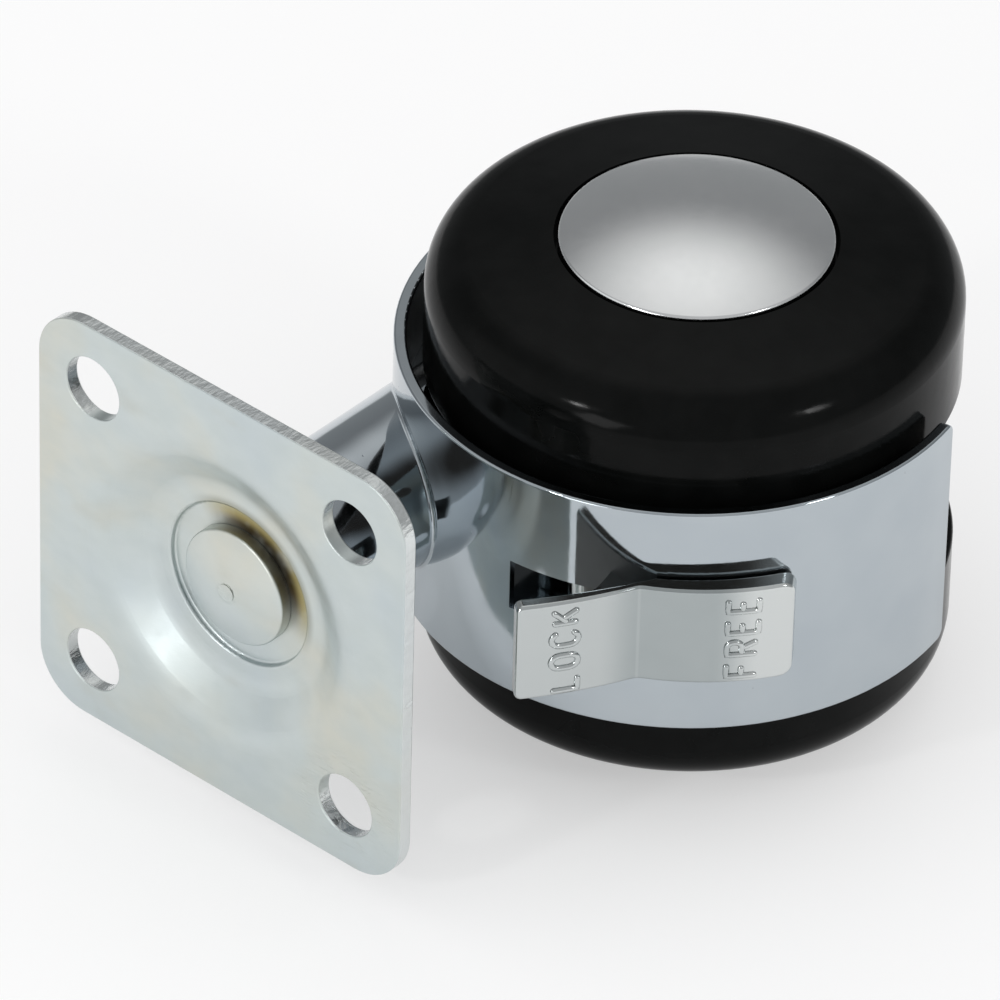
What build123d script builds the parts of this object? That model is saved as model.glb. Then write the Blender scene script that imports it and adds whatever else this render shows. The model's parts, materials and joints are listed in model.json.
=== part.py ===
from build123d import *
import os
from math import cos, hypot, radians, sin, sqrt, tan

# A twin-wheel plate castor with a hood and a rocker brake, in millimetres.
# The origin is the centre of the plate's mounting face, +Z runs up the kingpin, and the axle lies along Y.

# Clearances
RUNNING_CLEARANCE = 0.05  # radial, where one piece turns on another
PRESS_CLEARANCE = 0.01  # radial, where a pin is held in its hole
FACE_CLEARANCE = 0.05  # between flat faces that turn on each other
WHEEL_CLEARANCE = 0.8  # from a wheel's drum to the casting above it
POCKET_CLEARANCE = 0.2  # on each side of the brake lever's tongue

# Mounting plate: a pressed square with a dished centre and a coined recess for the kingpin's head
OVERALL_HEIGHT = 72.5
PLATE_SIDE = 45.0
PLATE_THICKNESS = 1.5
PLATE_CORNER = 5.5
PLATE_EDGE = 0.15
HOLE_SPACING = 31.5
HOLE_RADIUS = 3.25
DISH_DEPTH = 2.6
DISH_SLOPE = 29.0
DISH_BEND = 3.6
DISH_FLOOR = 0.5
RECESS_RADIUS = 8.4
RECESS_DEPTH = 0.6
RECESS_WALL = 0.8
RECESS_EDGE = 0.25

# Kingpin: a headed pin held in the hood's boss, with the plate turning under its head
KINGPIN_RADIUS = 4.0
KINGPIN_HOLD = 21.0
KINGPIN_END_CHAMFER = 0.6
HEAD_GAP = 2.4
HEAD_RIM = 1.15
HEAD_CROWN = 1.0
HEAD_EDGE = 0.25
PIP_RADIUS = 0.9
PIP_RISE = 0.1
THRUST_WASHER_INSET = 0.4
THRUST_WASHER_THICKNESS = 1.0

# Wheels: a wide tread that starts inside the hood's rim, and a smaller drum for the brake beside the web
WHEEL_RADIUS = 25.0
TREAD_STEP = 2.6
TREAD_WIDTH = 8.4
TREAD_INSET = 3.4
TREAD_EDGE = 0.5
SHOULDER_RADIUS = 4.6
FACE_SLOPE = 10.0
HUB_WALL = 4.5
CAVITY_DEPTH = 3.1
DRUM_WALL = 3.4
DRUM_HOLLOW = 3.0
RIB_COUNT = 6
RIB_THICKNESS = 1.6

# Hub caps: thin domes that stand in round seats of the wheels
CAP_SEAT_RADIUS = 13.2
CAP_SEAT_DEPTH = 1.7
CAP_GAP = 0.4
CAP_SKIRT = 1.85
CAP_RISE = 2.2
CAP_WALL = 0.65
CAP_EDGE = 0.3
CAP_FLAT = 0.4

# Hood: a half-round die casting with a boss for the kingpin and a web for the axle
TRAIL = 15.8
HOOD_GAP = 1.05
HOOD_WALL = 1.2
HOOD_WIDTH = 24.8
HOOD_RAISE = 0.7
HOOD_SPREAD = 104.0
HOOD_CORNER = 1.0
HOOD_RIM = 0.25
BOSS_WALL = 3.8
BOSS_EDGE = 0.4
BOSS_FILLET = 0.3
AXLE_BOSS_WALL = 4.2
CHEEK_THICKNESS = 1.6

# Axle with its washers and clips
AXLE_RADIUS = 3.0
AXLE_END_CHAMFER = 0.4
INNER_WASHER_BAND = 3.0
INNER_WASHER_THICKNESS = 0.55
OUTER_WASHER_BAND = 3.5
OUTER_WASHER_THICKNESS = 0.5
CLIP_BAND = 2.2
CLIP_THICKNESS = 0.6
CLIP_GRIP = 0.6
GROOVE_DEPTH = 0.6
AXLE_STUB = 0.8

# Brake: a rocker lever on a pin, in a pocket of the web, with a bar that comes down on both drums.
# Its sizes run along the hood from the pin, back towards the kingpin or on towards the free end, and
# heights are above the hood's surface over the pin.
BRAKE_ANGLE = 34.0
LOCK_ANGLE = 15.0
PIVOT_DEPTH = 4.75
PIVOT_PIN_RADIUS = 1.5
POCKET_BACK = 13.3
POCKET_FRONT = 7.4
POCKET_FLOOR_HALF = 6.2
LEVER_WIDTH = 10.7
LEVER_LIFT = 0.25
LEVER_EDGE = 0.35
LOCK_REACH = 11.4
LOCK_HEIGHT = 6.9
LOCK_THICKNESS = 1.5
LOCK_BOW = 0.35
LOCK_END_CORNER = 0.7
ROOT_FRONT = 0.5
VALLEY_BACK = 0.8
VALLEY_HEIGHT = 1.9
VALLEY_BEND = 1.5
FREE_RISE = 2.2
FREE_BOW = 1.0
FREE_REACH = 13.1
FREE_END_CORNER = 1.2
TONGUE_WIDTH = 5.0
TONGUE_BACK = 4.9
TONGUE_FRONT = 4.6
HEEL_WALL = 1.9
HEEL_FLAT = 2.6
BAR_RADIUS = 1.2
BAR_BACK = 5.7
BAR_REACH = 3.6
BAR_WALL = 1.2
BAR_LOCK_GAP = 0.27
BAR_WINDOW_PLAY = 0.55
SPRING_THICKNESS = 0.4
SPRING_WIDTH = 4.6
SPRING_HEIGHT = 1.45
SPRING_GAP = 0.12
SPRING_HALF_ANGLE = 24.0

# Sizes that follow from the ones above: the plate and the kingpin
SLOPE_COS = cos(radians(DISH_SLOPE))
SLOPE_SIN = sin(radians(DISH_SLOPE))
BEND_PAIR = 2 * DISH_BEND + PLATE_THICKNESS
SLOPE_LENGTH = (DISH_DEPTH - BEND_PAIR * (1 - SLOPE_COS)) / SLOPE_SIN
STEP_RADIUS = RECESS_RADIUS + RECESS_WALL
DISH_RADIUS = STEP_RADIUS + DISH_FLOOR + BEND_PAIR * SLOPE_SIN + SLOPE_LENGTH * SLOPE_COS
RECESS_FLOOR = -DISH_DEPTH - RECESS_DEPTH
PLATE_UNDERSIDE = RECESS_FLOOR - PLATE_THICKNESS
HEAD_RADIUS = RECESS_RADIUS - HEAD_GAP
KINGPIN_BORE = KINGPIN_RADIUS + RUNNING_CLEARANCE
WASHER_TOP = PLATE_UNDERSIDE - FACE_CLEARANCE
BOSS_TOP = WASHER_TOP - THRUST_WASHER_THICKNESS
BOSS_RADIUS = KINGPIN_RADIUS + BOSS_WALL
SHANK_END = BOSS_TOP - KINGPIN_HOLD

# The hood, the axle and the wheels
AXLE_DROP = OVERALL_HEIGHT - WHEEL_RADIUS
DRUM_RADIUS = WHEEL_RADIUS - TREAD_STEP
CLEAR_RADIUS = DRUM_RADIUS + WHEEL_CLEARANCE
HOOD_INNER_RADIUS = WHEEL_RADIUS + HOOD_GAP
HOOD_RADIUS = HOOD_INNER_RADIUS + HOOD_WALL
HOOD_MID_RADIUS = HOOD_RADIUS - HOOD_WALL / 2
POCKET_WIDTH = TONGUE_WIDTH + 2 * POCKET_CLEARANCE
WEB_THICKNESS = POCKET_WIDTH + 2 * CHEEK_THICKNESS
HALF_WEB = WEB_THICKNESS / 2
WHEEL_BORE = AXLE_RADIUS + RUNNING_CLEARANCE
WHEEL_INNER_FACE = HALF_WEB + INNER_WASHER_THICKNESS + FACE_CLEARANCE
TREAD_START = HOOD_WIDTH / 2 - TREAD_INSET
TREAD_END = TREAD_START + TREAD_WIDTH
FACE_TILT = radians(FACE_SLOPE)
SHOULDER_END = WHEEL_RADIUS - SHOULDER_RADIUS * (1 - sin(FACE_TILT))
FACE_HEIGHT = TREAD_END + SHOULDER_RADIUS * cos(FACE_TILT) + (SHOULDER_END - CAP_SEAT_RADIUS) * tan(FACE_TILT)
CAP_LEDGE = FACE_HEIGHT - CAP_SEAT_DEPTH
CAP_RADIUS = CAP_SEAT_RADIUS - CAP_GAP
CAVITY_RADIUS = CAP_RADIUS - CAP_WALL
HUB_FACE = CAP_LEDGE - CAVITY_DEPTH
HUB_RADIUS = AXLE_RADIUS + HUB_WALL
OUTER_WASHER_START = HUB_FACE + FACE_CLEARANCE
CLIP_START = OUTER_WASHER_START + OUTER_WASHER_THICKNESS + FACE_CLEARANCE
CLIP_END = CLIP_START + CLIP_THICKNESS
CLIP_RADIUS = AXLE_RADIUS + CLIP_BAND
GROOVE_RADIUS = AXLE_RADIUS - GROOVE_DEPTH
AXLE_HALF = CLIP_END + AXLE_STUB

# The brake, in its own frame at the pin: along the hood, and outwards
BRAKE_PIVOT_RADIUS = HOOD_RADIUS - PIVOT_DEPTH
BRAKE_TILT = radians(BRAKE_ANGLE)
HEEL_DEPTH = PIVOT_PIN_RADIUS + HEEL_WALL
HEEL_CROWN = -HEEL_DEPTH / cos(radians(LOCK_ANGLE / 2)) - SPRING_GAP
POCKET_FLOOR = HEEL_CROWN - SPRING_HEIGHT
BAR_LENGTH = 2 * (WHEEL_INNER_FACE + BAR_REACH)
AXLE_ALONG = HOOD_RAISE * sin(BRAKE_TILT)
AXLE_OUTWARD = -BRAKE_PIVOT_RADIUS - HOOD_RAISE * cos(BRAKE_TILT)
BAR_LOCK_RADIUS = DRUM_RADIUS + BAR_LOCK_GAP + BAR_RADIUS
BAR_AT_LOCK = Vector(-BAR_BACK, AXLE_OUTWARD + sqrt(BAR_LOCK_RADIUS**2 - (BAR_BACK + AXLE_ALONG) ** 2))
BAR_AT_REST = BAR_AT_LOCK.rotate(Axis.Z, -LOCK_ANGLE)

AXLE_POINT = Vector(-TRAIL, 0, -AXLE_DROP)
HOOD_POINT = AXLE_POINT + Vector(0, 0, HOOD_RAISE)
AXLE_LINE = Axis(AXLE_POINT, (0, 1, 0))
OUTWARD = Vector(-sin(BRAKE_TILT), 0, cos(BRAKE_TILT))
ALONG = Vector(-cos(BRAKE_TILT), 0, -sin(BRAKE_TILT))
PIVOT_POINT = HOOD_POINT + OUTWARD * BRAKE_PIVOT_RADIUS

# Drawing planes: side views at the axle, the hood's centre and the brake's pin, and a wheel's half section
AXLE_PLANE = Plane(AXLE_POINT, x_dir=(1, 0, 0), z_dir=(0, -1, 0))
HOOD_PLANE = Plane(HOOD_POINT, x_dir=(1, 0, 0), z_dir=(0, -1, 0))
BRAKE_PLANE = Plane(PIVOT_POINT, x_dir=ALONG, z_dir=(0, 1, 0))
WHEEL_PLANE = Plane(AXLE_POINT, x_dir=(1, 0, 0), z_dir=(0, 0, 1))
ON_FOOT = (Align.CENTER, Align.CENTER, Align.MIN)


def turned(points, plane, axis):
    """A solid of revolution from a closed outline."""
    return revolve(plane * make_face(Polyline(*points, close=True)), axis)


def slab(sketch, plane, thickness):
    """A sketch made thick to both sides of its plane."""
    return extrude(plane * sketch, thickness / 2, both=True)


def ring(inner_radius, outer_radius, start, end):
    """A plain ring on the axle from one distance to another."""
    points = [(inner_radius, start), (outer_radius, start), (outer_radius, end), (inner_radius, end)]
    return turned(points, WHEEL_PLANE, AXLE_LINE)


def round_edges(part, radius):
    """The circular edges of a part that have a given radius."""
    return [edge for edge in part.edges().filter_by(GeomType.CIRCLE) if abs(edge.radius - radius) < 1e-4]


def mounting_plate():
    holes = GridLocations(HOLE_SPACING, HOLE_SPACING, 2, 2) * Circle(HOLE_RADIUS)
    blank = RectangleRounded(PLATE_SIDE, PLATE_SIDE, PLATE_CORNER) - Circle(DISH_RADIUS) - holes
    sheet = extrude(blank, -PLATE_THICKNESS)
    rims = sheet.faces().sort_by(Axis.Z)[-1].outer_wire().edges()
    rims += sheet.faces().sort_by(Axis.Z)[0].outer_wire().edges()
    rims += round_edges(sheet, HOLE_RADIUS)
    return fillet(rims, PLATE_EDGE) + dish()


def dish_side(start_height, first_radius, second_radius):
    """One face of the dish's sheet, from the flat plate down to its floor, as two bends and a slope."""
    upper = JernArc((DISH_RADIUS, start_height), (-1, 0), first_radius, DISH_SLOPE)
    slope = PolarLine(upper @ 1, SLOPE_LENGTH, direction=upper % 1)
    lower = JernArc(slope @ 1, slope % 1, second_radius, -DISH_SLOPE)
    return [upper, slope, lower]


def dish():
    """The pressed centre of the plate, turned from the section of its sheet."""
    outside_bend = DISH_BEND + PLATE_THICKNESS
    top = dish_side(0, outside_bend, DISH_BEND)
    under = dish_side(-PLATE_THICKNESS, DISH_BEND, outside_bend)
    floor = Polyline(
        top[-1] @ 1,
        (RECESS_RADIUS, -DISH_DEPTH),
        (RECESS_RADIUS, RECESS_FLOOR),
        (KINGPIN_BORE, RECESS_FLOOR),
        (KINGPIN_BORE, PLATE_UNDERSIDE),
        (STEP_RADIUS, PLATE_UNDERSIDE),
        (STEP_RADIUS, -DISH_DEPTH - PLATE_THICKNESS),
        under[-1] @ 1,
    )
    outer = Line((DISH_RADIUS, 0), (DISH_RADIUS, -PLATE_THICKNESS))
    pressed = revolve(Plane.XZ * make_face([*top, floor, *under, outer]), Axis.Z)
    return fillet(round_edges(pressed, RECESS_RADIUS), RECESS_EDGE)


def kingpin():
    seat = RECESS_FLOOR + FACE_CLEARANCE
    rim = seat + HEAD_RIM
    apex = rim + HEAD_CROWN
    crown_radius = (HEAD_RADIUS**2 + HEAD_CROWN**2) / (2 * HEAD_CROWN)
    pip_foot = apex - crown_radius + sqrt(crown_radius**2 - PIP_RADIUS**2)
    side = Polyline(
        (0, apex + PIP_RISE),
        (0, SHANK_END),
        (KINGPIN_RADIUS - KINGPIN_END_CHAMFER, SHANK_END),
        (KINGPIN_RADIUS, SHANK_END + KINGPIN_END_CHAMFER),
        (KINGPIN_RADIUS, seat),
        (HEAD_RADIUS, seat),
        (HEAD_RADIUS, rim),
    )
    crown = RadiusArc((HEAD_RADIUS, rim), (PIP_RADIUS, pip_foot), -crown_radius)
    pip = Polyline((PIP_RADIUS, pip_foot), (PIP_RADIUS, apex + PIP_RISE), (0, apex + PIP_RISE))
    pin = revolve(Plane.XZ * make_face([side, crown, pip]), Axis.Z)
    rim_edge = [edge for edge in round_edges(pin, HEAD_RADIUS) if edge.center().Z > seat + HEAD_RIM / 2]
    return fillet(rim_edge, HEAD_EDGE)


def thrust_washer():
    outer_radius = BOSS_RADIUS - THRUST_WASHER_INSET
    points = [
        (KINGPIN_BORE, BOSS_TOP),
        (outer_radius, BOSS_TOP),
        (outer_radius, WASHER_TOP),
        (KINGPIN_BORE, WASHER_TOP),
    ]
    return turned(points, Plane.XZ, Axis.Z)


def hood_shell():
    """The half-round skirt, with its corners and rims rounded."""
    first = 90 - HOOD_SPREAD
    outer = CenterArc((0, 0), HOOD_RADIUS, first, 2 * HOOD_SPREAD)
    inner = CenterArc((0, 0), HOOD_INNER_RADIUS, first, 2 * HOOD_SPREAD)
    ends = [Line(outer @ 0, inner @ 0), Line(outer @ 1, inner @ 1)]
    shell = slab(make_face([outer, inner, *ends]), HOOD_PLANE, HOOD_WIDTH)
    shell = fillet(shell.edges().group_by(Edge.length)[0], HOOD_CORNER)
    return fillet(shell.faces().filter_by(Axis.Y).edges(), HOOD_RIM)


def hood_boss():
    """The kingpin's boss, down to where its far side enters the hood's wall, cut away where the drums run."""
    reach = TRAIL + BOSS_RADIUS
    foot = HOOD_POINT.Z + sqrt(max(0, HOOD_MID_RADIUS**2 - reach**2))
    boss = Pos(0, 0, foot) * Cylinder(BOSS_RADIUS, BOSS_TOP - foot, align=ON_FOOT)
    boss = fillet(boss.edges().sort_by(Axis.Z)[-1], BOSS_EDGE)
    return boss - slab(Circle(CLEAR_RADIUS), AXLE_PLANE, HOOD_WIDTH)


def hood_web():
    """The plate in the middle of the hood, with a round boss for the axle under its straight lower edge."""
    lower_edge = HOOD_MID_RADIUS * cos(radians(HOOD_SPREAD))
    disc_width = 2 * HOOD_MID_RADIUS
    above = Pos(0, lower_edge) * Rectangle(disc_width, disc_width, align=(Align.CENTER, Align.MIN))
    web = slab(Circle(HOOD_MID_RADIUS) & above, HOOD_PLANE, WEB_THICKNESS)
    return web + slab(Circle(AXLE_RADIUS + AXLE_BOSS_WALL), AXLE_PLANE, WEB_THICKNESS)


def on_boss_joint(edge):
    """Whether an edge is the line where the boss rises from the hood."""
    middle = edge @ 0.5
    off_boss = hypot(middle.X, middle.Y) - BOSS_RADIUS
    off_hood = hypot(middle.X - HOOD_POINT.X, middle.Z - HOOD_POINT.Z) - HOOD_RADIUS
    return abs(off_boss) < 1e-3 and abs(off_hood) < 1e-3


def hood():
    casting = hood_shell() + hood_boss() + hood_web()
    casting = fillet([edge for edge in casting.edges() if on_boss_joint(edge)], BOSS_FILLET)
    held_radius = KINGPIN_RADIUS + PRESS_CLEARANCE
    kingpin_hole = Pos(0, 0, SHANK_END) * Cylinder(held_radius, KINGPIN_HOLD, align=ON_FOOT)
    axle_hole = slab(Circle(AXLE_RADIUS + PRESS_CLEARANCE), AXLE_PLANE, WEB_THICKNESS)
    return casting - kingpin_hole - axle_hole - brake_pocket()


def brake_pocket():
    """The space for the brake in the web, open through a slot in the hood, with windows for the bar."""
    outline = Polyline(
        (-POCKET_BACK, 2 * PIVOT_DEPTH),
        (-POCKET_BACK, POCKET_FLOOR / 2),
        (-POCKET_FLOOR_HALF, POCKET_FLOOR),
        (POCKET_FLOOR_HALF, POCKET_FLOOR),
        (POCKET_FRONT, POCKET_FLOOR / 2),
        (POCKET_FRONT, 2 * PIVOT_DEPTH),
        close=True,
    )
    half_window = BAR_RADIUS + BAR_WINDOW_PLAY
    bar_drop = BAR_AT_REST.Y - BAR_AT_LOCK.Y
    window_size = (2 * half_window, 2 * half_window + bar_drop)
    window = Pos((BAR_AT_REST + BAR_AT_LOCK) / 2) * Rectangle(*window_size)
    pin_hole = Circle(PIVOT_PIN_RADIUS + PRESS_CLEARANCE)
    pocket = slab(make_face(outline), BRAKE_PLANE, POCKET_WIDTH)
    return pocket + slab(window, BRAKE_PLANE, WEB_THICKNESS) + slab(pin_hole, BRAKE_PLANE, WEB_THICKNESS)


def wheel():
    """The wheel on the +Y side, turned from its half section, with ribs inside the drum."""
    shoulder = CenterArc((WHEEL_RADIUS - SHOULDER_RADIUS, TREAD_END), SHOULDER_RADIUS, 0, 90 - FACE_SLOPE)
    section = Polyline(
        shoulder @ 1,
        (CAP_SEAT_RADIUS, FACE_HEIGHT),
        (CAP_SEAT_RADIUS, CAP_LEDGE),
        (CAVITY_RADIUS, CAP_LEDGE),
        (CAVITY_RADIUS, HUB_FACE),
        (WHEEL_BORE, HUB_FACE),
        (WHEEL_BORE, WHEEL_INNER_FACE),
        (DRUM_RADIUS, WHEEL_INNER_FACE),
        (DRUM_RADIUS, TREAD_START),
        (WHEEL_RADIUS, TREAD_START),
        (WHEEL_RADIUS, TREAD_END),
    )
    solid = revolve(WHEEL_PLANE * make_face([shoulder, section]), AXLE_LINE)
    tread_middle = TREAD_END - TREAD_WIDTH / 2
    tread_edges = [edge for edge in round_edges(solid, WHEEL_RADIUS) if edge.center().Y < tread_middle]
    drum_middle = (WHEEL_INNER_FACE + TREAD_START) / 2
    drum_edges = [edge for edge in round_edges(solid, DRUM_RADIUS) if edge.center().Y < drum_middle]
    return fillet(tread_edges + drum_edges, TREAD_EDGE) - drum_hollow()


def drum_hollow():
    """The shallow hollow in a wheel's inner face, left standing at its ribs."""
    hollow_end = WHEEL_INNER_FACE + DRUM_HOLLOW
    hollow = ring(HUB_RADIUS, DRUM_RADIUS - DRUM_WALL, WHEEL_INNER_FACE, hollow_end)
    ribs = Sketch() + PolarLocations(DRUM_RADIUS / 2, RIB_COUNT) * Rectangle(DRUM_RADIUS, RIB_THICKNESS)
    return hollow - slab(ribs, AXLE_PLANE, 2 * hollow_end)


def hub_cap():
    """The hub cap on the +Y side: a shallow dome with a short skirt."""
    rim = CAP_LEDGE + CAP_SKIRT
    dome_radius = (CAP_RADIUS**2 + CAP_RISE**2) / (2 * CAP_RISE)
    inner_dome = dome_radius - CAP_WALL
    apex = rim + CAP_RISE
    inner_rim = apex - dome_radius + sqrt(inner_dome**2 - CAVITY_RADIUS**2)
    outside = RadiusArc((CAP_RADIUS, rim), (CAP_FLAT, apex), -dome_radius)
    inside = RadiusArc((CAVITY_RADIUS, inner_rim), (CAP_FLAT, apex - CAP_WALL), -inner_dome)
    skirt = Polyline(outside @ 0, (CAP_RADIUS, CAP_LEDGE), (CAVITY_RADIUS, CAP_LEDGE), inside @ 0)
    centre = Polyline(outside @ 1, (0, apex), (0, apex - CAP_WALL), inside @ 1)
    cap = revolve(WHEEL_PLANE * make_face([outside, skirt, inside, centre]), AXLE_LINE)
    rim_edge = [edge for edge in round_edges(cap, CAP_RADIUS) if edge.center().Y > CAP_LEDGE + CAP_SKIRT / 2]
    return fillet(rim_edge, CAP_EDGE)


def axle():
    rod = slab(Circle(AXLE_RADIUS), AXLE_PLANE, 2 * AXLE_HALF)
    rod = chamfer(rod.edges().filter_by(GeomType.CIRCLE), AXLE_END_CHAMFER)
    groove = ring(GROOVE_RADIUS, CLIP_RADIUS, CLIP_START, CLIP_END)
    return rod - groove - mirror(groove, about=Plane.XZ)


def inner_washer():
    end = HALF_WEB + INNER_WASHER_THICKNESS
    return ring(AXLE_RADIUS + PRESS_CLEARANCE, AXLE_RADIUS + INNER_WASHER_BAND, HALF_WEB, end)


def axle_washer():
    end = OUTER_WASHER_START + OUTER_WASHER_THICKNESS
    return ring(AXLE_RADIUS + PRESS_CLEARANCE, AXLE_RADIUS + OUTER_WASHER_BAND, OUTER_WASHER_START, end)


def axle_clip():
    """An open ring in the axle's groove, with its mouth upwards."""
    full = ring(GROOVE_RADIUS + PRESS_CLEARANCE, CLIP_RADIUS, CLIP_START, CLIP_END)
    mouth = Rectangle(2 * GROOVE_RADIUS - CLIP_GRIP, CLIP_RADIUS, align=(Align.CENTER, Align.MIN))
    return full - slab(mouth, AXLE_PLANE, 2 * AXLE_HALF)


def above_hood(along, rise):
    """A point in the brake's frame at a height above the hood's round surface."""
    return (along, sqrt((HOOD_RADIUS + rise) ** 2 - along**2) - BRAKE_PIVOT_RADIUS)


def lever_wings():
    """The lever's two wings in side view: the raised lock side, a valley, and the free side on the hood."""
    valley = (-VALLEY_BACK, PIVOT_DEPTH + VALLEY_HEIGHT)
    lock_face = SagittaArc(valley, (-LOCK_REACH, PIVOT_DEPTH + LOCK_HEIGHT), -LOCK_BOW)
    tip_run = lock_face % 1
    lock_under_tip = lock_face @ 1 + Vector(-tip_run.Y, tip_run.X) * LOCK_THICKNESS
    free_face = SagittaArc(valley, above_hood(FREE_REACH, FREE_RISE), FREE_BOW)
    under_radius = HOOD_RADIUS + LEVER_LIFT
    free_under_tip = above_hood(FREE_REACH, LEVER_LIFT)
    root = above_hood(ROOT_FRONT, LEVER_LIFT)
    outline = [
        lock_face,
        free_face,
        Line(free_face @ 1, free_under_tip),
        RadiusArc(free_under_tip, root, -under_radius),
        SagittaArc(root, lock_under_tip, -LOCK_BOW),
        Line(lock_under_tip, lock_face @ 1),
    ]
    side = make_face(outline)
    return fillet(side.vertices().sort_by_distance(valley)[0], VALLEY_BEND)


def lever_tongue():
    """The tongue in side view: it holds the bar, turns on the pin and rests its heel on one of two flats."""
    corner = (-HEEL_DEPTH * tan(radians(LOCK_ANGLE / 2)), -HEEL_DEPTH)
    lock_flat_end = Vector(-HEEL_FLAT, -HEEL_DEPTH).rotate(Axis.Z, -LOCK_ANGLE)
    top = PIVOT_DEPTH + VALLEY_HEIGHT - LEVER_EDGE
    lock_slope = (LOCK_HEIGHT - VALLEY_HEIGHT) / (LOCK_REACH - VALLEY_BACK)
    back_top = top + lock_slope * (TONGUE_BACK - VALLEY_BACK) - LEVER_EDGE
    front_top = above_hood(TONGUE_FRONT, FREE_RISE - 2 * LEVER_EDGE)
    outline = Polyline(
        (-TONGUE_BACK, back_top),
        BAR_AT_REST,
        lock_flat_end,
        corner,
        (HEEL_FLAT, -HEEL_DEPTH),
        (TONGUE_FRONT, 0),
        front_top,
        (-VALLEY_BACK, top),
        close=True,
    )
    bar_place = Pos(BAR_AT_REST)
    pin_hole = Circle(PIVOT_PIN_RADIUS + RUNNING_CLEARANCE)
    bar_hole = bar_place * Circle(BAR_RADIUS + PRESS_CLEARANCE)
    return make_face(outline) + bar_place * Circle(BAR_RADIUS + BAR_WALL) - bar_hole - pin_hole


def end_corners(wings, end):
    """The two short edges at one end of the wings, counted along the hood."""
    face = wings.faces().sort_by(Axis(PIVOT_POINT, ALONG))[end]
    return face.edges().filter_by(Axis.Y, reverse=True)


def brake_lever():
    wings = slab(lever_wings(), BRAKE_PLANE, LEVER_WIDTH)
    wings = fillet(end_corners(wings, -1), FREE_END_CORNER)
    wings = fillet(end_corners(wings, 0), LOCK_END_CORNER)
    wings = fillet(wings.faces().filter_by(Axis.Y).edges(), LEVER_EDGE)
    return wings + slab(lever_tongue(), BRAKE_PLANE, TONGUE_WIDTH)


def brake_pivot_pin():
    return slab(Circle(PIVOT_PIN_RADIUS), BRAKE_PLANE, WEB_THICKNESS)


def brake_bar():
    return slab(Pos(BAR_AT_REST) * Circle(BAR_RADIUS), BRAKE_PLANE, BAR_LENGTH)


def brake_detent_spring():
    """A bowed leaf on the pocket's floor, with its crown under the lever's heel."""
    fall = cos(radians(SPRING_HALF_ANGLE))
    bow_radius = (SPRING_HEIGHT - SPRING_THICKNESS * fall) / (1 - fall)
    centre = (0, HEEL_CROWN - bow_radius)
    first = 90 - SPRING_HALF_ANGLE
    outer = CenterArc(centre, bow_radius, first, 2 * SPRING_HALF_ANGLE)
    inner = CenterArc(centre, bow_radius - SPRING_THICKNESS, first, 2 * SPRING_HALF_ANGLE)
    ends = [Line(outer @ 0, inner @ 0), Line(outer @ 1, inner @ 1)]
    return slab(make_face([outer, inner, *ends]), BRAKE_PLANE, SPRING_WIDTH)


PAIRED = {
    "wheel": wheel,
    "hub_cap": hub_cap,
    "inner_washer": inner_washer,
    "axle_washer": axle_washer,
    "axle_clip": axle_clip,
}
SINGLE = {
    "mounting_plate": mounting_plate,
    "kingpin": kingpin,
    "thrust_washer": thrust_washer,
    "hood": hood,
    "axle": axle,
    "brake_lever": brake_lever,
    "brake_pivot_pin": brake_pivot_pin,
    "brake_bar": brake_bar,
    "brake_detent_spring": brake_detent_spring,
}

os.makedirs("parts", exist_ok=True)
for name, make in SINGLE.items():
    export_step(make(), f"parts/{name}.step")
for name, make in PAIRED.items():
    left = make()
    export_step(left, f"parts/left_{name}.step")
    export_step(mirror(left, about=Plane.XZ), f"parts/right_{name}.step")
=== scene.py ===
import json
import math
import bpy
from mathutils import Matrix, Vector
from mathutils.bvhtree import BVHTree


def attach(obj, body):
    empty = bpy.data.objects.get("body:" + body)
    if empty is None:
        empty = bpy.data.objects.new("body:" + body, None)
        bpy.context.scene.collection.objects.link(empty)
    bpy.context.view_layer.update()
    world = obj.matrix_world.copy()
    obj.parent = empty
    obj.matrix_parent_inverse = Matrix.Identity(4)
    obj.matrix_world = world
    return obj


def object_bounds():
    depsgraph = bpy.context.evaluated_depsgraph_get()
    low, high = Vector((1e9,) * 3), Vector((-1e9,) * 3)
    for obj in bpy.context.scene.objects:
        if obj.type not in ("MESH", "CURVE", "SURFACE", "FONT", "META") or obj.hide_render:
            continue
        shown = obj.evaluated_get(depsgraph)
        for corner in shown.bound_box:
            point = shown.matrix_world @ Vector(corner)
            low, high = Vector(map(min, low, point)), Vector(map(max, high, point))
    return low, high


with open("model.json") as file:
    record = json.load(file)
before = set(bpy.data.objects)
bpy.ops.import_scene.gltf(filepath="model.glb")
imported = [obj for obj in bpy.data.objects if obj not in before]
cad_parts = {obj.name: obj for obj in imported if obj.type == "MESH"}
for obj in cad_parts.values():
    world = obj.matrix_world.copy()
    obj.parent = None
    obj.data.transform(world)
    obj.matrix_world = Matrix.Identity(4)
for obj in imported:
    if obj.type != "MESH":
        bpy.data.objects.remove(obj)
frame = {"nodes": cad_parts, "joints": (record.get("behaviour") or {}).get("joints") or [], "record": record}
CAD_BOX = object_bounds()

# A twin-wheel plate castor that lies on one hub cap, in metres and in the frame of its solids
MM = 0.001
UP = Vector((0, -1, 0))  # the photo's upward direction, along the axle
JOINT_PLACE = {joint["name"]: Vector(joint["pos_m"]) for joint in frame["joints"]}
WHEEL_CENTRE = (JOINT_PLACE["left_wheel_spin"] + JOINT_PLACE["right_wheel_spin"]) / 2
OBJECT_CENTRE = (CAD_BOX[0] + CAD_BOX[1]) / 2

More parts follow.
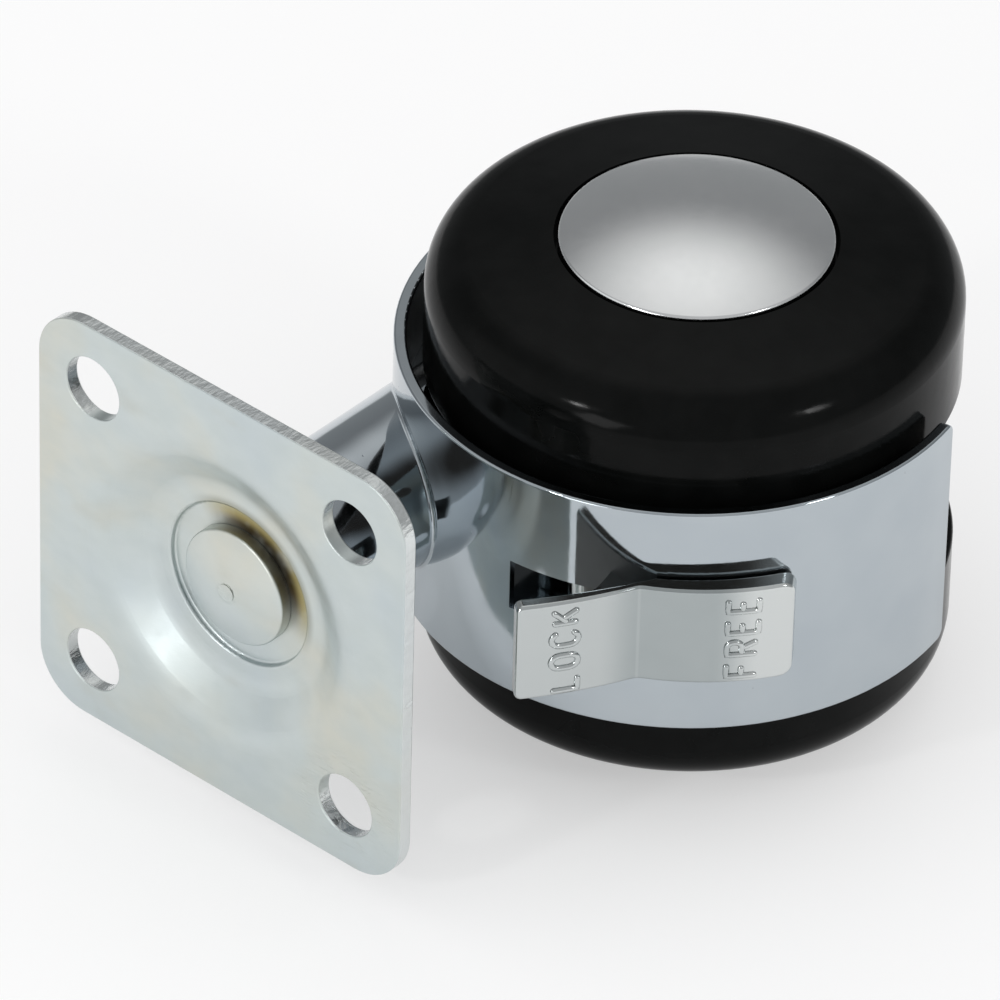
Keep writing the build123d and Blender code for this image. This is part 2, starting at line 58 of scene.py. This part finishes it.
# Camera: a long lens that looks down on the castor, turned about the axle from the kingpin's direction
CAMERA_TURN = 0.7074
CAMERA_HEIGHT_ANGLE = 0.6552
CAMERA_ROLL = -0.0263
CAMERA_DISTANCE = 1.0384
CAMERA_LENS = 405.1
CAMERA_CLIP_FACTOR = 10
SENSOR_WIDTH = 36.0
TARGET_FROM_AXLE = Vector((6.14, -0.66, 19.67)) * MM

# Floor: a disc that fades out at its rim. The hole under the lower cap gives that cap more to mirror, and
# the camera doesn't see it.
FLOOR_GAP = 0.02 * MM
FLOOR_RADIUS = 0.4
FLOOR_CORNERS = 96
FLOOR_FADE_START = 0.2
FLOOR_HOLE_RADIUS = 15 * MM
FLOOR_HOLE_CLEAR_RADIUS = 12 * MM
FLOOR_COLOUR = (0.96, 0.96, 0.96, 1)
FLOOR_ROUGHNESS = 0.7
FLOOR_GLOW_SEEN = 0.43
FLOOR_GLOW_MIRRORED = 0.15

# The sky that metal mirrors, from straight below at 0 to straight above at 1, what the camera sees of it,
# and the plain light that it gives
MIRRORED_SKY = (
    (0.05, (0.45, 0.455, 0.46)),
    (0.46, (0.9, 0.9, 0.9)),
    (0.5, (0.3, 0.31, 0.315)),
    (0.8, (0.25, 0.255, 0.26)),
    (0.97, (0.4, 0.405, 0.41)),
)
SKY_SHOWN = (1.0, 1.0, 1.0)
AMBIENT = (0.9, 0.9, 0.905)

# Round zones of the mirrored sky: the turn and rise of the middle, where the zone starts and where it is
# full, all in degrees, and its colour. The dark camera side shows only in mirrors of mirrors.
SKY_ZONES = (
    (0, 40, 95, 45, (0.55, 0.555, 0.56)),
    (180, 62, 35, 0, (1.0, 1.0, 0.99)),
    (-81, 20, 36, 14, (0.85, 0.86, 0.86)),
)
DARK_SIDE = (-10, math.degrees(CAMERA_HEIGHT_ANGLE), 52, 24, (0.05, 0.043, 0.038))

# Softboxes, all at one distance
LAMP_DISTANCE = 0.7
LAMP_WATTS = 0.5

# The stretch of a noise's values that a finish uses
NOISE_RANGE = (0.3, 0.7)
NOISE_RANGE_WIDE = (0.25, 0.75)

# Zinc: clouds of tint, and marks in millimetres, most of them by distance from the kingpin's axis
ZINC_TINTS = ((0.32, (0.565, 0.625, 0.645)), (0.5, (0.605, 0.655, 0.645)), (0.66, (0.645, 0.65, 0.585)))
ZINC_ROUGHNESS = (0.33, 0.43)
MOTTLE = (0.5, 0.56, 0.555)
MOTTLE_SHARE = 0.22
SMEAR = (0.5, 0.485, 0.41)
SMEAR_RANGE = (0.56, 0.72)
SMEAR_SHARE = 0.2
# The ring round the kingpin's head is partly a real brown and olive stain, and partly painted shade in the
# gap beside the head, darkest next to the head and on one side.
STAIN_AND_SHADE_DIRECTION = Vector((-0.6, -0.8, 0))
STAIN_AND_SHADE_SIDE = (1.0, 6.0)
STAIN_AND_SHADE_INNER_EDGE = (5.9, 6.1)
STAIN_AND_SHADE_OUTER_EDGE = (9.6, 8.3)
STAIN_AND_SHADE_NOISE_RANGE = (0.1, 0.5)
STAIN_AND_SHADE_FROM_TO = (6.0, 10.0)
STAIN_AND_SHADE_COLOURS = (
    (0.0, (0.05, 0.035, 0.014)),
    (0.16, (0.1, 0.068, 0.026)),
    (0.36, (0.36, 0.3, 0.13)),
    (0.58, (0.44, 0.42, 0.27)),
    (0.72, (0.3, 0.31, 0.26)),
)
SHEARED = (0.82, 0.84, 0.84)
SHEARED_SHARE = 0.6
SHEARED_RIM = (20.0, 21.0)
SHEARED_SLOPE = (0.4, 0.1)
SHEARED_SHINE = 0.15
BOLT_OFFSET = frame["record"]["mounts"][0]["dims"]["spacing_x_mm"] / 2
SCRATCHED_HOLE = Vector((-BOLT_OFFSET, BOLT_OFFSET, 0))
SCRATCHED_AREA = (7.5, 4.0)
SCRATCH_RANGE = (0.56, 0.62)
CENTRE_MARK = (1.3, 0.9)

# Chrome: the hood's inside is unpolished and darkened with painted shade, and the casting's dents are on the
# kingpin boss, by distance from the kingpin in millimetres
# The inside's dark tone is painted shade; its extra roughness is a duller finish.
INSIDE_SHADE_TONE = (0.2, 0.19, 0.18)
INSIDE_ROUGHNESS = 0.25
INSIDE_FACING = (-0.5, -0.7)
BOSS_DENTS = (11.0, 8.0)
PINHOLES_PER_MM = 0.3
PINHOLE_RADIUS = 0.04

# The brake lever's directions, and where a paler painted sheen stands in for what its faces reflect, in
# millimetres along it from its pin
BRAKE_TILT = math.radians(34.0)
ALONG = Vector((-math.cos(BRAKE_TILT), 0, -math.sin(BRAKE_TILT)))
OUTWARD = Vector((-math.sin(BRAKE_TILT), 0, math.cos(BRAKE_TILT)))
# The paler tone at the lever's ends and along its fold is a painted sheen, standing in for reflected light.
PAINTED_SHEEN_TONE = (0.64, 0.665, 0.66)
FREE_END_SHEEN = (6.0, 10.3)
LOCK_END_SHEEN = (-0.6, -4.4)
LOCK_END_SHEEN_SHARE = 0.55
FOLD_PLACE = -0.8
FOLD_SHEEN = (0.2, 0.06)
FOLD_SHEEN_SHARE = 0.17

# Words on the brake lever, in millimetres along and across the lever from its pin
STROKE_RADIUS = 0.33
STROKE_RISE = 0.26
STROKE_STEP = 0.3
STROKE_END_ANGLES = (30, 55, 80)
STROKE_ROUNDNESS = 3
LETTER_WIDTH = 1.45
ARC_STEPS = 8
ABOVE_LEVER = 30


class Nodes:
    """A node tree with short calls for the nodes that the finishes and the sky use."""

    def __init__(self, tree):
        self.tree = tree

    def add(self, kind, settings=None, **inputs):
        """A new node. An input's name has _ for a space, or is _ and its number."""
        node = self.tree.nodes.new(kind)
        for name, value in (settings or {}).items():
            setattr(node, name, value)
        for name, value in inputs.items():
            key = int(name[1:]) if name[0] == "_" else name.replace("_", " ")
            self.give(node.inputs[key], value)
        return node

    def give(self, socket, value):
        if isinstance(value, bpy.types.NodeSocket):
            self.tree.links.new(value, socket)
        else:
            socket.default_value = value

    def math(self, operation, first, second=0.0):
        return self.add("ShaderNodeMath", {"operation": operation}, _0=first, _1=second).outputs[0]

    def times(self, first, second):
        return self.math("MULTIPLY", first, second)

    def most(self, first, second):
        return self.math("MAXIMUM", first, second)

    def vector(self, operation, first, second=(0, 0, 0), result="Value"):
        node = self.add("ShaderNodeVectorMath", {"operation": operation}, _0=first, _1=second)
        return node.outputs[result]

    def along(self, vector, direction):
        """The length of a vector along a direction."""
        return self.vector("DOT_PRODUCT", vector, direction)

    def span(self, value, start, end, low=0.0, high=1.0, kind="SMOOTHSTEP"):
        """Maps value from start..end to low..high and stops there, with soft ends unless kind is LINEAR."""
        node = self.add("ShaderNodeMapRange", {"interpolation_type": kind}, Value=value)
        for name, number in (("From Min", start), ("From Max", end), ("To Min", low), ("To Max", high)):
            node.inputs[name].default_value = number
        return node.outputs[0]

    def colours(self, value, *stops):
        """A colour ramp with stops of (place, colour)."""
        ramp = self.add("ShaderNodeValToRGB", Fac=value)
        elements = ramp.color_ramp.elements
        while len(elements) < len(stops):
            elements.new(0.5)
        for element, (place, colour) in zip(elements, stops):
            element.position = place
            element.color = (*colour, 1)
        return ramp.outputs[0]

    def mix(self, share, first, second):
        """A share of the second colour over the first."""
        node = self.add("ShaderNodeMix", {"data_type": "RGBA"})
        self.give(node.inputs[0], share)
        for socket, value in ((node.inputs[6], first), (node.inputs[7], second)):
            self.give(socket, value if isinstance(value, bpy.types.NodeSocket) else (*value, 1))
        return node.outputs[2]

    def layer(self, share, first, second):
        """A share of the second shader node over the first."""
        return self.add("ShaderNodeMixShader", _0=share, _1=first.outputs[0], _2=second.outputs[0])

    def seen(self):
        """One for rays from the camera and from mirrors and glass, none for the light on the object."""
        rays = self.add("ShaderNodeLightPath").outputs
        mirrors = self.most(rays["Is Glossy Ray"], rays["Is Transmission Ray"])
        return self.most(rays["Is Camera Ray"], mirrors)


class Finish(Nodes):
    """A material's nodes. Coordinates are in millimetres."""

    def __init__(self, name):
        self.material = bpy.data.materials.new(name)
        self.material.use_nodes = True
        super().__init__(self.material.node_tree)
        self.shader = self.tree.nodes["Principled BSDF"]
        self.output = self.tree.nodes["Material Output"]
        texture = self.add("ShaderNodeTexCoord").outputs
        self.place = self.scaled(texture["Object"], (1 / MM,) * 3)
        self.normal = texture["Normal"]

    def scaled(self, vector, scale):
        return self.add("ShaderNodeMapping", Vector=vector, Scale=scale).outputs[0]

    def set(self, **inputs):
        for name, value in inputs.items():
            self.give(self.shader.inputs[name.replace("_", " ")], value)

    def noise(self, scale, detail=2.0, stretch=(1, 1, 1)):
        """Noise with `scale` cycles a millimetre, drawn out along an axis by a small stretch value."""
        place = self.scaled(self.place, stretch)
        return self.add("ShaderNodeTexNoise", Vector=place, Scale=scale, Detail=detail).outputs[0]

    def tones(self, value, dark, pale):
        """A colour between a dark and a pale one, by a noise's value."""
        start, end = NOISE_RANGE
        return self.colours(value, (start, dark), (end, pale))

    def from_kingpin(self):
        """The distance from the kingpin's axis."""
        parts = self.add("ShaderNodeSeparateXYZ", Vector=self.place).outputs
        flat = self.add("ShaderNodeCombineXYZ", X=parts[0], Y=parts[1])
        return self.vector("LENGTH", flat.outputs[0])

    def bump(self, height, depth, below=None):
        """A normal with relief of a depth in millimetres, on top of the normal below."""
        node = self.add("ShaderNodeBump", Height=height, Distance=depth * MM)
        if below is not None:
            self.give(node.inputs["Normal"], below)
        return node.outputs[0]


def zinc_tint(finish):
    """Cloudy straw and blue tints, with a finer mottle and some smears."""
    tint = finish.colours(finish.noise(0.06, detail=3), *ZINC_TINTS)
    mottle = finish.noise(0.5, detail=5, stretch=(0.5, 1, 1))
    tint = finish.mix(finish.span(mottle, *NOISE_RANGE, 0, MOTTLE_SHARE), tint, MOTTLE)
    smear = finish.noise(0.16, detail=5, stretch=(0.6, 1, 1))
    return finish.mix(finish.span(smear, *SMEAR_RANGE, 0, SMEAR_SHARE), tint, SMEAR)


def zinc_stain_and_shade(finish, radius):
    """How much the recess is stained and darkened with painted shade: in a ring round the kingpin's head, on
    one side and unevenly.
    """
    ring = finish.times(finish.span(radius, *STAIN_AND_SHADE_INNER_EDGE), finish.span(radius, *STAIN_AND_SHADE_OUTER_EDGE))
    side = finish.span(finish.along(finish.place, STAIN_AND_SHADE_DIRECTION), *STAIN_AND_SHADE_SIDE)
    return finish.times(finish.times(ring, side), finish.span(finish.noise(0.3), *STAIN_AND_SHADE_NOISE_RANGE))


def zinc_relief(finish, radius, sheared):
    """Rolling lines, scratches by one bolt hole, a struck centre mark and torn edges."""
    rolled = finish.bump(finish.noise(3.0, detail=4, stretch=(0.25, 1.6, 1)), depth=0.004)
    lines = finish.span(finish.noise(2.5, detail=3, stretch=(0.2, 1.5, 1)), *SCRATCH_RANGE)
    near_hole = finish.span(finish.vector("DISTANCE", finish.place, SCRATCHED_HOLE), *SCRATCHED_AREA)
    scratches = finish.times(finish.times(lines, near_hole), -1.0)
    scratched = finish.bump(scratches, depth=0.03, below=rolled)
    struck = finish.times(finish.noise(3.5, detail=3), finish.span(radius, *CENTRE_MARK))
    marked = finish.bump(struck, depth=0.09, below=scratched)
    torn = finish.times(finish.noise(2.2, detail=5, stretch=(1, 1, 0.35)), sheared)
    return finish.bump(torn, depth=0.09, below=marked)


def zinc_finish():
    """Bright zinc plating on rolled steel, with sheared edges and a recess that is stained and darkened with
    painted shade.
    """
    finish = Finish("zinc_plate")
    radius = finish.from_kingpin()
    # Stain and painted shade: darkest brown next to the head, olive further out.
    stain_and_shade_colour = finish.colours(finish.span(radius, *STAIN_AND_SHADE_FROM_TO, kind="LINEAR"), *STAIN_AND_SHADE_COLOURS)
    colour = finish.mix(zinc_stain_and_shade(finish, radius), zinc_tint(finish), stain_and_shade_colour)
    facing_up = finish.add("ShaderNodeSeparateXYZ", Vector=finish.normal).outputs[2]
    steep = finish.span(finish.math("ABSOLUTE", facing_up), *SHEARED_SLOPE)
    sheared = finish.times(steep, finish.span(radius, *SHEARED_RIM))
    roughness = finish.span(finish.noise(0.35, detail=3), *NOISE_RANGE_WIDE, *ZINC_ROUGHNESS)
    finish.set(
        Base_Color=finish.mix(finish.times(sheared, SHEARED_SHARE), colour, SHEARED),
        Metallic=1.0,
        Roughness=finish.math("ADD", roughness, finish.times(sheared, -SHEARED_SHINE)),
        Normal=zinc_relief(finish, radius, sheared),
    )
    return finish.material


def lever_painted_sheen(finish):
    """How much a painted sheen lightens the lever, as reflected light would: at both ends and along its
    fold.
    """
    along = finish.along(finish.place, ALONG)
    along = finish.math("SUBTRACT", along, (JOINT_PLACE["brake_rock"] / MM).dot(ALONG))
    lock_end = finish.span(along, *LOCK_END_SHEEN, 0, LOCK_END_SHEEN_SHARE)
    from_fold = finish.math("ABSOLUTE", finish.math("SUBTRACT", along, FOLD_PLACE))
    fold = finish.span(from_fold, *FOLD_SHEEN, 0, FOLD_SHEEN_SHARE)
    return finish.most(finish.most(lock_end, finish.span(along, *FREE_END_SHEEN)), fold)


def unpolished_and_shaded(finish):
    """How much a face is left unpolished and darkened with painted shade, because it looks towards the axle.
    """
    from_axle = finish.vector("SUBTRACT", finish.place, WHEEL_CENTRE / MM, result="Vector")
    outward = finish.vector("NORMALIZE", from_axle, result="Vector")
    return finish.span(finish.along(finish.normal, outward), *INSIDE_FACING)


def cast_relief(finish, cast):
    """Dents on the boss, faint waves, cast grain of a given depth and a few pinholes."""
    dents = finish.times(finish.noise(0.28, detail=0), finish.span(finish.from_kingpin(), *BOSS_DENTS))
    dented = finish.bump(dents, depth=0.06)
    wavy = finish.bump(finish.noise(0.22, detail=1), depth=0.02, below=dented)
    grained = finish.bump(finish.noise(3.0, detail=3), depth=cast, below=wavy)
    cells = finish.add("ShaderNodeTexVoronoi", Vector=finish.place, Scale=PINHOLES_PER_MM)
    pinholes = finish.span(cells.outputs["Distance"], 0, PINHOLE_RADIUS, -1, 0)
    return finish.bump(pinholes, depth=0.05, below=grained)


def chrome_finish(name, dark, pale, shine, cast, painted_sheen_mask=None):
    """Chrome on a die casting, with more or less cast grain, and a paler painted sheen where the given mask
    says so.
    """
    finish = Finish(name)
    tone = finish.tones(finish.noise(0.15), dark, pale)
    # Painted sheen: a paler tone where the lever's faces would reflect more light.
    if painted_sheen_mask is not None:
        tone = finish.mix(painted_sheen_mask(finish), tone, PAINTED_SHEEN_TONE)
    inside_dull_and_shaded = unpolished_and_shaded(finish)
    roughness = finish.span(finish.noise(0.8, detail=3), *NOISE_RANGE, *shine)
    finish.set(
        # The inside that looks towards the axle gets a dark tone of painted shade, as well as more
        # roughness.
        Base_Color=finish.mix(inside_dull_and_shaded, tone, INSIDE_SHADE_TONE),
        Metallic=1.0,
        Roughness=finish.math("ADD", roughness, finish.times(inside_dull_and_shaded, INSIDE_ROUGHNESS)),
        Normal=cast_relief(finish, cast),
    )
    return finish.material


def satin_chrome_finish():
    """Satin chrome: a fine even grain that blurs what it reflects."""
    finish = Finish("satin_chrome")
    finish.set(
        Base_Color=finish.tones(finish.noise(0.2), (0.74, 0.755, 0.76), (0.77, 0.78, 0.785)),
        Metallic=1.0,
        Roughness=finish.span(finish.noise(1.2, detail=3), *NOISE_RANGE_WIDE, 0.15, 0.2),
        Normal=finish.bump(finish.noise(9.0), depth=0.0015),
    )
    return finish.material


def nylon_finish():
    """Black moulded nylon, half gloss, with faint flow marks."""
    finish = Finish("black_nylon")
    cloud = finish.noise(0.3, detail=3)
    flow = finish.bump(finish.noise(0.4), depth=0.015)
    finish.set(
        Base_Color=finish.tones(cloud, (0.002, 0.0023, 0.0022), (0.0037, 0.004, 0.0039)),
        Roughness=finish.span(finish.noise(0.7, detail=4), *NOISE_RANGE, 0.1, 0.16),
        Specular_IOR_Level=0.07,
        Normal=finish.bump(finish.noise(6.0, detail=3), depth=0.002, below=flow),
    )
    return finish.material


def steel_finish():
    """Plain drawn steel with fine lines."""
    finish = Finish("steel")
    lines = finish.noise(4.0, detail=3, stretch=(1, 0.05, 1))
    finish.set(
        Base_Color=finish.tones(lines, (0.48, 0.49, 0.5), (0.58, 0.585, 0.59)),
        Metallic=1.0,
        Roughness=finish.span(lines, *NOISE_RANGE, 0.28, 0.42),
        Normal=finish.bump(lines, depth=0.006),
    )
    return finish.material


FINISHES = {
    "zinc_plate": zinc_finish(),
    "chrome": chrome_finish(
        "chrome", (0.445, 0.49, 0.525), (0.475, 0.52, 0.55), shine=(0.05, 0.09), cast=0.0006
    ),
    "satin_chrome": satin_chrome_finish(),
    "black_nylon": nylon_finish(),
    "steel": steel_finish(),
}
LEVER_FINISH = chrome_finish(
    "lever_chrome",
    (0.385, 0.42, 0.425),
    (0.41, 0.445, 0.45),
    shine=(0.1, 0.15),
    cast=0.007,
    painted_sheen_mask=lever_painted_sheen,
)


def dress_solids():
    for row in frame["record"]["subparts"]:
        name = row["node"]
        mesh = frame["nodes"][name].data
        mesh.materials.clear()
        mesh.materials.append(LEVER_FINISH if name == "brake_lever" else FINISHES[row["material_slot"]])


def arc(centre, radii, start, end):
    """Points on an ellipse's arc, with angles in degrees."""
    angles = [math.radians(start + (end - start) * step / ARC_STEPS) for step in range(ARC_STEPS + 1)]
    return [(centre[0] + radii[0] * math.cos(a), centre[1] + radii[1] * math.sin(a)) for a in angles]


def letters():
    """Single-stroke capitals in a box one wide and one high."""
    middle = [(0, 0.52), (0.8, 0.52)]
    round_top = arc((0.5, 0.68), (0.5, 0.32), 0, 180)
    round_foot = arc((0.5, 0.32), (0.5, 0.32), 180, 360)
    bowl = arc((0.6, 0.76), (0.4, 0.24), 90, -90)
    return {
        "L": [[(0, 1), (0, 0), (1, 0)]],
        "O": [round_top + round_foot + round_top[:1]],
        "C": [arc((0.5, 0.68), (0.5, 0.32), 10, 180) + arc((0.5, 0.32), (0.5, 0.32), 180, 350)],
        "K": [[(0, 0), (0, 1)], [(1, 1), (0, 0.4)], [(0.34, 0.6), (1, 0)]],
        "F": [[(0, 0), (0, 1), (1, 1)], middle],
        "R": [[(0, 0), (0, 1), *bowl, (0, 0.52)], [(0.5, 0.52), (1, 0)]],
        "E": [[(1, 1), (0, 1), (0, 0), (1, 0)], middle],
    }


def spread(points, step):
    """The points of a stroke with more between them, no further apart than step."""
    result = [points[0]]
    for start, end in zip(points, points[1:]):
        count = max(1, math.ceil(math.dist(start, end) / step))
        for part in range(1, count + 1):
            share = part / count
            result.append((start[0] + (end[0] - start[0]) * share, start[1] + (end[1] - start[1]) * share))
    return result


def lever_surface():
    """The lever's faces, for rays to meet."""
    lever = frame["nodes"]["brake_lever"].data
    corners = [vertex.co for vertex in lever.vertices]
    return BVHTree.FromPolygons(corners, [list(face.vertices) for face in lever.polygons])


def on_lever(surface, along, across):
    """The centre of a raised stroke on the lever's outer face, from distances to its pin in millimetres."""
    start = JOINT_PLACE["brake_rock"] + (ALONG * along + OUTWARD * ABOVE_LEVER + UP * across) * MM
    point, normal, _, _ = surface.ray_cast(start, -OUTWARD)
    return point - normal * (STROKE_RADIUS - STROKE_RISE) * MM


def rounded_ends(points):
    """The points of an open stroke, each with its share of the radius, which shrinks at both ends."""
    head = (points[0] - points[1]).normalized() * STROKE_RADIUS * MM
    tail = (points[-1] - points[-2]).normalized() * STROKE_RADIUS * MM
    angles = [math.radians(angle) for angle in STROKE_END_ANGLES]
    before = [(points[0] - head * (1 - math.sin(a)), math.cos(a)) for a in reversed(angles)]
    after = [(points[-1] - tail * (1 - math.sin(a)), math.cos(a)) for a in angles]
    return before + [(point, 1.0) for point in points[1:-1]] + after


def raised_word(name, word, baseline, height, start, pitch):
    """A word in raised strokes that reads up the lever, its letters' tops towards the kingpin."""
    curve = bpy.data.curves.new(name, "CURVE")
    curve.dimensions = "3D"
    curve.bevel_depth = STROKE_RADIUS * MM
    curve.bevel_resolution = STROKE_ROUNDNESS
    curve.use_fill_caps = True
    surface = lever_surface()
    shapes = letters()
    for index, letter in enumerate(word):
        for stroke in shapes[letter]:
            flat = [(start + index * pitch + x * LETTER_WIDTH, baseline - y * height) for x, y in stroke]
            points = [on_lever(surface, along, across) for across, along in spread(flat, STROKE_STEP)]
            closed = stroke[0] == stroke[-1]
            rows = [(point, 1.0) for point in points[:-1]] if closed else rounded_ends(points)
            spline = curve.splines.new("POLY")
            spline.use_cyclic_u = closed
            spline.points.add(len(rows) - 1)
            for target, (point, share) in zip(spline.points, rows):
                target.co = (*point, 1)
                target.radius = share
    curve.materials.append(LEVER_FINISH)
    piece = bpy.data.objects.new(name, curve)
    bpy.context.scene.collection.objects.link(piece)
    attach(piece, "brake")


def floor_finish():
    """Pale paper that glows a little where it is seen, clear from below, at its rim and in its hole."""
    finish = Finish("floor")
    finish.set(Base_Color=FLOOR_COLOUR, Roughness=FLOOR_ROUGHNESS, Specular_IOR_Level=0.0)
    camera_ray = finish.add("ShaderNodeLightPath").outputs["Is Camera Ray"]
    glow_seen = finish.span(camera_ray, 0, 1, 0, FLOOR_GLOW_SEEN)
    glow_mirrored = finish.span(finish.seen(), 0, 1, 0, FLOOR_GLOW_MIRRORED)
    glow = finish.add("ShaderNodeEmission")
    paper = finish.layer(finish.most(glow_mirrored, glow_seen), finish.shader, glow)
    radius = finish.vector("LENGTH", finish.place)
    rim = finish.span(radius, FLOOR_FADE_START / MM, FLOOR_RADIUS / MM)
    hole = finish.span(radius, FLOOR_HOLE_RADIUS / MM, FLOOR_HOLE_CLEAR_RADIUS / MM)
    hole = finish.times(hole, finish.span(camera_ray, 0, 1, 1, 0))
    from_below = finish.add("ShaderNodeNewGeometry").outputs["Backfacing"]
    clear = finish.add("ShaderNodeBsdfTransparent")
    surface = finish.layer(finish.most(finish.most(rim, hole), from_below), paper, clear)
    finish.give(finish.output.inputs["Surface"], surface.outputs[0])
    return finish.material


def floor():
    """A disc under the lower hub cap."""
    place = Vector((WHEEL_CENTRE.x, CAD_BOX[1].y + FLOOR_GAP, WHEEL_CENTRE.z))
    turn = UP.to_track_quat("Z", "Y").to_matrix().to_4x4()
    bpy.ops.mesh.primitive_circle_add(vertices=FLOOR_CORNERS, radius=FLOOR_RADIUS, fill_type="NGON")
    disc = bpy.context.object
    disc.name = "floor"
    disc.matrix_world = Matrix.Translation(place) @ turn
    disc.data.materials.append(floor_finish())


def camera_axes():
    """The camera's right, up and back directions."""
    turn, rise = CAMERA_TURN, CAMERA_HEIGHT_ANGLE
    level = math.cos(rise)
    back = Vector((-level * math.sin(turn), -math.sin(rise), level * math.cos(turn)))
    right = (-back).cross(UP).normalized()
    down = (-back).cross(right)
    cosine, sine = math.cos(CAMERA_ROLL), math.sin(CAMERA_ROLL)
    return right * cosine + down * sine, right * sine - down * cosine, back


def camera():
    right, up, back = camera_axes()
    eye = WHEEL_CENTRE + TARGET_FROM_AXLE + back * CAMERA_DISTANCE
    data = bpy.data.cameras.new("photo_camera")
    data.lens = CAMERA_LENS
    data.sensor_width = SENSOR_WIDTH
    data.clip_start = CAMERA_DISTANCE / CAMERA_CLIP_FACTOR
    data.clip_end = CAMERA_DISTANCE * CAMERA_CLIP_FACTOR
    made = bpy.data.objects.new("photo_camera", data)
    made.matrix_world = Matrix.Translation(eye) @ Matrix((right, up, back)).transposed().to_4x4()
    bpy.context.scene.collection.objects.link(made)
    bpy.context.scene.camera = made


def toward(turn, rise):
    """A direction from the object, in degrees to the right of the camera's side and above the floor."""
    _, _, back = camera_axes()
    front = (back - UP * back.dot(UP)).normalized()
    right = UP.cross(front)
    turn, rise = math.radians(turn), math.radians(rise)
    level = front * math.cos(turn) + right * math.sin(turn)
    return level * math.cos(rise) + UP * math.sin(rise)


def zone_share(nodes, direction, zone):
    """How much of a round zone shows in a direction."""
    turn, rise, start, full, _ = zone
    away = nodes.math("ARCCOSINE", nodes.along(direction, toward(turn, rise)))
    return nodes.span(away, math.radians(start), math.radians(full))


def sky():
    """Zones of light in the mirrors, white for the camera, and a plain light for the rest."""
    world = bpy.data.worlds.new("studio")
    bpy.context.scene.world = world
    world.use_nodes = True
    nodes = Nodes(world.node_tree)
    direction = nodes.add("ShaderNodeTexCoord").outputs["Generated"]
    rays = nodes.add("ShaderNodeLightPath").outputs
    height = nodes.span(nodes.along(direction, UP), -1, 1, kind="LINEAR")
    mirrored = nodes.colours(height, *MIRRORED_SKY)
    for zone in SKY_ZONES:
        mirrored = nodes.mix(zone_share(nodes, direction, zone), mirrored, zone[-1])
    mirrored_twice = nodes.span(rays["Glossy Depth"], 1, 2)
    dark_share = nodes.times(zone_share(nodes, direction, DARK_SIDE), mirrored_twice)
    mirrored = nodes.mix(dark_share, mirrored, DARK_SIDE[-1])
    shown = nodes.mix(rays["Is Camera Ray"], mirrored, SKY_SHOWN)
    background = world.node_tree.nodes["Background"]
    nodes.give(background.inputs["Color"], nodes.mix(nodes.seen(), AMBIENT, shown))


def softbox(name, turn, rise, size):
    """A square lamp that faces the object."""
    direction = toward(turn, rise)
    data = bpy.data.lights.new(name, "AREA")
    data.shape = "SQUARE"
    data.size = size
    data.energy = LAMP_WATTS
    lamp = bpy.data.objects.new(name, data)
    lamp.location = OBJECT_CENTRE + direction * LAMP_DISTANCE
    lamp.rotation_mode = "QUATERNION"
    lamp.rotation_quaternion = direction.to_track_quat("Z", "Y")
    bpy.context.scene.collection.objects.link(lamp)


def studio():
    floor()
    sky()
    camera()
    softbox("left_softbox", turn=-48, rise=29, size=0.05)
    softbox("right_softbox", turn=52, rise=29, size=0.1)
    softbox("low_softbox", turn=-36, rise=9, size=0.22)
    bpy.context.scene.view_settings.view_transform = "Standard"


dress_solids()
raised_word("lock_word", "LOCK", baseline=-5.95, height=2.35, start=-4.75, pitch=2.58)
raised_word("free_word", "FREE", baseline=10.05, height=2.75, start=-4.54, pitch=2.47)
studio()
